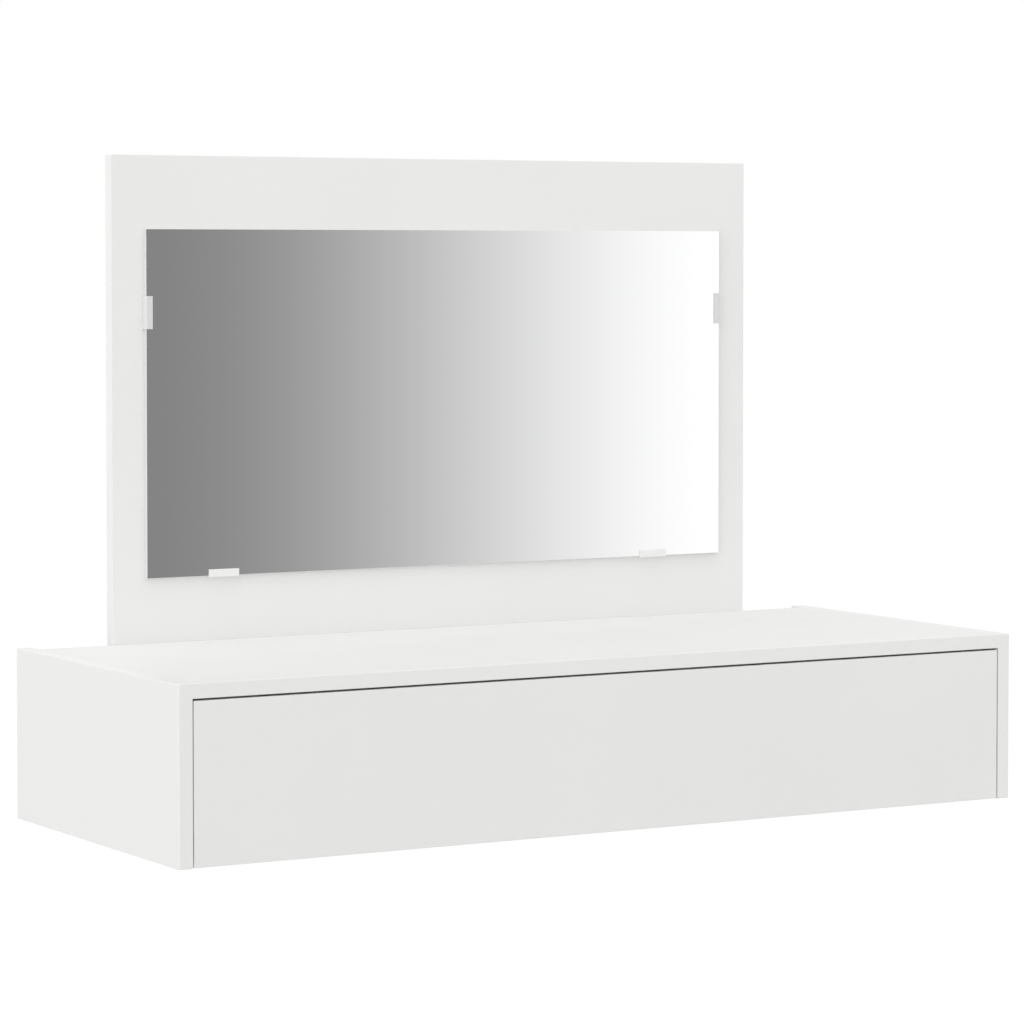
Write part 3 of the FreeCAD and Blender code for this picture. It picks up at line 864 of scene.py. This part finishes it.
def islands(node: str) -> list[tuple[Vector, Vector]]:
    """Boxes of the separate bodies in one node.

    Args:
        node: Name of the node.

    Returns:
        Lowest and highest corner of each, in a fixed order.
    """
    form = bmesh.new()
    form.from_mesh(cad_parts[node].data)
    bmesh.ops.remove_doubles(form, verts=form.verts, dist=WELD)
    waiting = set(form.verts)
    boxes = []
    while waiting:
        edge_of_search = [waiting.pop()]
        found = []
        while edge_of_search:
            vert = edge_of_search.pop()
            found.append(vert.co.copy())
            fresh = {edge.other_vert(vert) for edge in vert.link_edges} & waiting
            waiting -= fresh
            edge_of_search.extend(fresh)
        boxes.append((Vector(map(min, zip(*found))), Vector(map(max, zip(*found)))))
    form.free()
    return sorted(
        boxes, key=lambda corners: [round(value, ORDER_DIGITS) for value in corners[0]])


@dataclass(frozen=True)
class ScrewKind:
    """Form and sizes of one kind of screw; the rest is read from its solids."""

    form: HeadForm
    shank_radius: float
    head_height: float


@dataclass
class ScrewSet:
    """Screws of one kind that all ride on the same body."""

    # Fall of a pan head's dome and depth of its recess, as shares of the head's height
    PAN_DOME: ClassVar[float] = 0.4
    RECESS_DEPTH: ClassVar[float] = 0.65
    # Pitch of the thread, as a share of the shank's radius
    PITCH: ClassVar[float] = 0.8

    node: str
    body: str
    facing: Facing
    kind: ScrewKind
    seed: int
    slot: str = "zinc_steel"

    def seats(self) -> tuple[bpy.types.Mesh, float, float]:
        """Points under the heads, with the way that each screw looks.

        Returns:
            The points as a mesh, the radius of the heads and the length of the shanks.
        """
        points, ways = [], []
        radius = length = 0.0
        for low, high in islands(self.node):
            middle, half = (low + high) / 2, (high - low) / 2
            way = self.facing.direction(middle)
            reach = abs(half.dot(way))
            points.append(middle + way * (reach - self.kind.head_height))
            ways.append(way)
            radius = max((half - Vector(map(abs, way)) * reach))
            length = 2 * reach - self.kind.head_height
        mesh = bpy.data.meshes.new(f"{self.node}_seats")
        mesh.from_pydata(points, [], [])
        out = mesh.attributes.new(SEAT_WAY, "FLOAT_VECTOR", "POINT")
        out.data.foreach_set("vector", [value for way in ways for value in way])
        return mesh, radius, length

    def build(self, tree: ScrewTree, material: bpy.types.Material) -> bpy.types.Object:
        """Make the screws and let them stand for their node.

        Args:
            tree: Geometry nodes of the screws.
            material: Finish of the screws.

        Returns:
            The finished piece.
        """
        mesh, head_radius, length = self.seats()
        piece = bpy.data.objects.new(f"threaded_{self.node}", mesh)
        bpy.context.scene.collection.objects.link(piece)
        kind = self.kind
        pan = kind.form is HeadForm.PAN
        modifier = piece.modifiers.new("screws", "NODES")
        modifier.node_group = tree.tree
        values = {
            "Head Radius": head_radius,
            "Under Radius": head_radius if pan else kind.shank_radius,
            "Head Height": kind.head_height,
            "Dome": kind.head_height * (self.PAN_DOME if pan else 0.0),
            "Recess Depth": kind.head_height * self.RECESS_DEPTH,
            "Shank Radius": kind.shank_radius,
            "Length": length,
            "Pitch": kind.shank_radius * self.PITCH,
            "Turn Seed": self.seed,
            "Finish": material,
        }
        for name, value in values.items():
            modifier[tree.identifier(name)] = value
        graph = bpy.context.evaluated_depsgraph_get()
        plain = bpy.data.meshes.new_from_object(piece.evaluated_get(graph), depsgraph=graph)
        piece.modifiers.remove(modifier)
        piece.data = plain
        plain.name = piece.name
        bpy.data.meshes.remove(mesh)
        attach(piece, self.body)
        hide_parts(self.node)
        return piece


def paired(*stems: str) -> tuple[str, ...]:
    """Names of the left and right piece of each stem."""
    return tuple(f"{stem}_{side}" for stem in stems for side in ("left", "right"))


class SubAssembly(ABC):
    """Pieces that belong together, each in the finish of its slot."""

    title: ClassVar[str]

    @abstractmethod
    def slots(self) -> dict[str, tuple[str, ...]]:
        """Names of the nodes that each slot covers."""

    @abstractmethod
    def screws(self) -> tuple[ScrewSet, ...]:
        """The screws that are built in full."""

    def build(self, effects: Effects, tree: ScrewTree) -> None:
        """Dress the solids and build the screws.

        Args:
            effects: The shared effects.
            tree: Geometry nodes of the screws.
        """
        for slot, names in self.slots().items():
            for name in names:
                material = FINISHES[slot].coat(name, effects)
                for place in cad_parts[name].material_slots:
                    place.material = material
                LOG.info("%s: %s in %s", self.title, name, slot)
        for screws in self.screws():
            piece = screws.build(tree, FINISHES[screws.slot].coat(screws.node, effects))
            LOG.info("%s: %s with %d faces", self.title, piece.name, len(piece.data.polygons))


@dataclass
class Case(SubAssembly):
    """Sides, top, bottom and back with their fittings, and the brackets that hang the table."""

    title: ClassVar[str] = "case"
    bracket_screw: ScrewKind = ScrewKind(HeadForm.PAN, shank_radius=0.0020, head_height=0.0018)

    def slots(self) -> dict[str, tuple[str, ...]]:
        """Names of the nodes that each slot covers.

        Returns:
            The names, by slot.
        """
        return {
            "white_melamine": (*paired("side_panel"), "top_panel", "bottom_panel", "back_panel"),
            "zinc_steel": ("case_cam_bolts", "case_cam_locks", *paired("wall_bracket")),
            "beech": ("case_dowels",),
        }

    def screws(self) -> tuple[ScrewSet, ...]:
        """The screws that are built in full."""
        kind = self.bracket_screw
        return (ScrewSet("wall_bracket_screws", "case", Facing.INWARD, kind, seed=11),)


@dataclass
class MirrorUnit(SubAssembly):
    """Upright panel with the glass in its four clips."""

    title: ClassVar[str] = "mirror"
    panel_screw: ScrewKind = ScrewKind(HeadForm.SUNK, shank_radius=0.0020, head_height=0.0024)
    clip_screw: ScrewKind = ScrewKind(HeadForm.SUNK, shank_radius=0.0015, head_height=0.0014)

    def slots(self) -> dict[str, tuple[str, ...]]:
        """Names of the nodes that each slot covers.

        Returns:
            The names, by slot.
        """
        return {
            "white_melamine": ("mirror_panel",),
            "mirror_silver": ("mirror_glass",),
            "clip_plastic": paired("mirror_clip_bottom"),
            # The grey of the side clips' lips is painted shade
            "clip_grey": paired("mirror_clip"),
        }

    def screws(self) -> tuple[ScrewSet, ...]:
        """The screws that are built in full.

        Returns:
            One set for each node of screws.
        """
        return (
            ScrewSet("mirror_panel_screws", "case", Facing.WALLWARD, self.panel_screw, seed=13),
            ScrewSet("mirror_clip_screws", "case", Facing.FRONTWARD, self.clip_screw, seed=14),
        )


@dataclass
class Runners(SubAssembly):
    """Roller runners: channels on the case, rails on the drawer, and a roller on each."""

    title: ClassVar[str] = "runners"
    screw: ScrewKind = ScrewKind(HeadForm.PAN, shank_radius=0.00175, head_height=0.0016)

    def slots(self) -> dict[str, tuple[str, ...]]:
        """Names of the nodes that each slot covers.

        Returns:
            The names, by slot.
        """
        return {
            "runner_enamel": paired("case_runner", "drawer_runner"),
            "roller_nylon": paired("front_roller", "rear_roller"),
            "zinc_steel": ("case_roller_axles", "drawer_roller_axles"),
        }

    def screws(self) -> tuple[ScrewSet, ...]:
        """The screws that are built in full.

        Returns:
            One set for each node of screws.
        """
        return (
            ScrewSet("case_runner_screws", "case", Facing.INWARD, self.screw, seed=12),
            ScrewSet("drawer_runner_screws", "drawer", Facing.OUTWARD, self.screw, seed=15),
        )


@dataclass
class Drawer(SubAssembly):
    """Drawer box behind its wide front."""

    title: ClassVar[str] = "drawer"
    back_screw: ScrewKind = ScrewKind(HeadForm.SUNK, shank_radius=0.0020, head_height=0.0024)
    sheet_screw: ScrewKind = ScrewKind(HeadForm.PAN, shank_radius=0.0015, head_height=0.0013)

    def slots(self) -> dict[str, tuple[str, ...]]:
        """Names of the nodes that each slot covers.

        Returns:
            The names, by slot.
        """
        return {
            "white_melamine": ("drawer_front", *paired("drawer_side"), "drawer_back"),
            "white_hardboard": ("drawer_bottom",),
            "zinc_steel": ("drawer_cam_bolts", "drawer_cam_locks"),
            "beech": ("drawer_dowels",),
        }

    def screws(self) -> tuple[ScrewSet, ...]:
        """The screws that are built in full.

        Returns:
            One set for each node of screws.
        """
        return (
            ScrewSet("drawer_back_screws", "drawer", Facing.OUTWARD, self.back_screw, seed=16),
            ScrewSet("drawer_bottom_screws", "drawer", Facing.DOWNWARD, self.sheet_screw, seed=17),
        )


@dataclass(frozen=True)
class MirrorSweep:
    """What the mirror shows of the studio: dark in front, white on the right, middling elsewhere.

    Bearings are in degrees from straight ahead, to the right where they are positive. Drops are
    how far a ray falls in one unit of its length.
    """

    dim: float = 0.228
    bright: float = 1.08
    far_share: float = 0.5
    low_level: float = 0.5
    white_bearings: Span = (23.7, 34.3)
    white_power: float = 1.35
    beyond_bearings: Span = (37.0, 55.0)
    left_bearings: Span = (-20.0, 60.0)
    drops: Span = (0.16, 0.42)

    def level(self, graph: Graph, way: Sockets) -> Socket:
        """Brightness in the direction of a reflected ray.

        Args:
            graph: Nodes that it is added to.
            way: X, Y and Z of the ray.

        Returns:
            The output that carries the level.
        """
        bearing = graph.math("ARCTAN2", way["X"], graph.math("MULTIPLY", way["Y"], -1.0))
        white = self._rise(graph, bearing, self.white_bearings)
        white = graph.math("POWER", white, self.white_power)
        beyond = self._rise(graph, bearing, self.beyond_bearings)
        dimmed = graph.math("MULTIPLY_ADD", beyond, self.far_share - 1.0, 1.0)
        right = graph.math("MULTIPLY", white, dimmed)
        left = self._rise(graph, graph.math("MULTIPLY", bearing, -1.0), self.left_bearings)
        side = graph.math("MAXIMUM", right, graph.math("MULTIPLY", left, self.far_share))
        level = graph.math("MULTIPLY_ADD", side, self.bright - self.dim, self.dim)
        steep = graph.ease(graph.math("MULTIPLY", way["Z"], -1.0), *self.drops)
        lower = graph.math("SUBTRACT", self.low_level, level)
        return graph.math("MULTIPLY_ADD", steep, lower, level)

    def _rise(self, graph: Graph, bearing: Socket, span: Span) -> Socket:
        """Smooth rise from the first bearing of a span to the second."""
        return graph.ease(bearing, *map(math.radians, span))


@dataclass
class Studio:
    """Floor, white surroundings, a soft lamp and the camera.

    The lens and the sensor are in millimetres, the turn and the pitch in degrees.
    """

    floor_drop: float = 0.57
    floor_reach: float = 7.5
    floor_sides: int = 64
    floor_grey: Colour = tint(0.70, 0.70, 0.70)
    floor_roughness: float = 0.9
    floor_share: float = 0.45
    floor_glow: float = 1.40
    white: Colour = tint(1.0, 1.0, 1.0)
    front_light: float = 1.10
    rear_light: float = 0.87
    horizon_blend: float = 0.2
    left_share: float = 0.50
    sweep: MirrorSweep = MirrorSweep()
    lamp_place: Triple = (0.0, -0.5, 3.0)
    lamp_aim: Triple = (0.0, 0.0, 0.2)
    lamp_size: float = 1.6
    lamp_power: float = 11.0
    lens: float = 135.70
    sensor: float = 36.0
    shift: float = -0.10
    clip: Span = (0.05, 100.0)
    eye: Triple = (-2.08007, -3.56742, 0.592)
    turn: float = 30.095
    pitch: float = 2.27

    def build(self) -> None:
        """Set up everything round the table."""
        self._floor()
        self._surroundings()
        self._lamp()
        self._camera()

    def _rays(self, graph: Graph) -> tuple[Socket, Socket, Socket]:
        """Masks of the rays that arrive.

        Args:
            graph: Nodes that they are added to.

        Returns:
            Rays of the eye, rays that only mirrors have sent on, and all reflected rays.
        """
        path = graph.add("ShaderNodeLightPath").outputs
        seen = graph.math("MAXIMUM", path["Is Camera Ray"], path["Is Transmission Ray"])
        # The depth counts whole bounces, so a half parts none from some
        unscattered = graph.math("LESS_THAN", path["Diffuse Depth"], 0.5)
        reflected = path["Is Glossy Ray"]
        return seen, graph.math("MULTIPLY", reflected, unscattered), reflected

    def _floor(self) -> None:
        """Wide pale floor that stays white to the eye and still takes a shadow."""
        mesh = bpy.data.meshes.new("studio_floor")
        form = bmesh.new()
        bmesh.ops.create_circle(
            form, cap_ends=True, segments=self.floor_sides, radius=self.floor_reach)
        bmesh.ops.translate(form, verts=form.verts, vec=(0.0, 0.0, -self.floor_drop))
        form.to_mesh(mesh)
        form.free()
        floor = bpy.data.objects.new("studio_floor", mesh)
        bpy.context.scene.collection.objects.link(floor)
        mesh.materials.append(self._floor_paint())

    def _floor_paint(self) -> bpy.types.Material:
        """Grey paint that glows to the eye and repeats the sweep to the mirror.

        Returns:
            The material.
        """
        coating = Coating("studio_floor_paint")
        coating.surface(Base_Color=self.floor_grey, Roughness=self.floor_roughness)
        seen, mirrored, _ = self._rays(coating)
        ray = coating.add("ShaderNodeNewGeometry").outputs["Incoming"]
        way = coating.add("ShaderNodeVectorMath", {0: ray, "Scale": -1.0}, operation="SCALE")
        sweep = self.sweep.level(coating, coating.split(way.outputs["Vector"]))
        extra = coating.math("SUBTRACT", sweep, self.floor_glow)
        level = coating.math("MULTIPLY_ADD", mirrored, extra, self.floor_glow)
        glow = coating.add("ShaderNodeEmission", {"Color": self.white, "Strength": level})
        share = coating.math("MAXIMUM", coating.math("MULTIPLY", seen, self.floor_share), mirrored)
        shaders = {0: share, 1: coating.shader.outputs["BSDF"], 2: glow.outputs["Emission"]}
        blend = coating.add("ShaderNodeMixShader", shaders)
        output = next(node for node in coating.tree.nodes if node.type == "OUTPUT_MATERIAL")
        coating.feed(output.inputs["Surface"], blend.outputs["Shader"])
        return coating.material

    def _surroundings(self) -> None:
        """White to the eye, soft light on the table and a dark-to-white sweep for the mirror."""
        world = bpy.data.worlds.new("studio")
        world.use_nodes = True
        bpy.context.scene.world = world
        graph = Graph(world.node_tree)
        graph.tree.nodes.clear()
        seen, mirrored, reflected = self._rays(graph)
        way = graph.split(graph.add("ShaderNodeTexCoord").outputs["Generated"])
        sweep = self.sweep.level(graph, way)
        behind = graph.ease(way["Y"], -self.horizon_blend, self.horizon_blend)
        fall = self.rear_light - self.front_light
        soft = graph.math("MULTIPLY_ADD", behind, fall, self.front_light)
        tilt = graph.math("MULTIPLY", way["X"], graph.math("SUBTRACT", reflected, 1.0))
        soft = graph.math("MULTIPLY", soft, graph.math("MULTIPLY_ADD", tilt, self.left_share, 1.0))
        shown = graph.math("MULTIPLY", mirrored, graph.math("SUBTRACT", 1.0, behind))
        level = graph.math("MULTIPLY_ADD", shown, graph.math("SUBTRACT", sweep, soft), soft)
        level = graph.math("MULTIPLY_ADD", seen, graph.math("SUBTRACT", 1.0, level), level)
        back = graph.add("ShaderNodeBackground", {"Color": self.white, "Strength": level})
        output = graph.add("ShaderNodeOutputWorld")
        graph.feed(output.inputs["Surface"], back.outputs["Background"])

    def _lamp(self) -> None:
        """Square soft lamp that looks at the table."""
        data = bpy.data.lights.new("top_lamp", "AREA")
        data.size = self.lamp_size
        data.energy = self.lamp_power
        lamp = bpy.data.objects.new("top_lamp", data)
        lamp.location = self.lamp_place
        aim = Vector(self.lamp_aim) - Vector(self.lamp_place)
        lamp.rotation_euler = aim.to_track_quat("-Z", "Y").to_euler()
        bpy.context.scene.collection.objects.link(lamp)

    def _camera(self) -> None:
        """Camera at the photograph's viewpoint."""
        data = bpy.data.cameras.new("camera")
        data.sensor_width = self.sensor
        data.lens = self.lens
        data.shift_y = self.shift
        data.clip_start, data.clip_end = self.clip
        camera = bpy.data.objects.new("camera", data)
        camera.location = self.eye
        camera.rotation_euler = (math.radians(90.0 - self.pitch), 0.0, math.radians(-self.turn))
        bpy.context.scene.collection.objects.link(camera)
        bpy.context.scene.camera = camera


def main() -> None:
    """Dress the table and set up the studio."""
    logging.basicConfig(level=logging.INFO, format="%(message)s")
    bpy.context.scene.view_settings.view_transform = "Standard"
    effects = Effects()
    tree = ScrewTree()
    for assembly in (Case(), MirrorUnit(), Runners(), Drawer()):
        assembly.build(effects, tree)
    Studio().build()


if __name__ == "__main__":
    main()
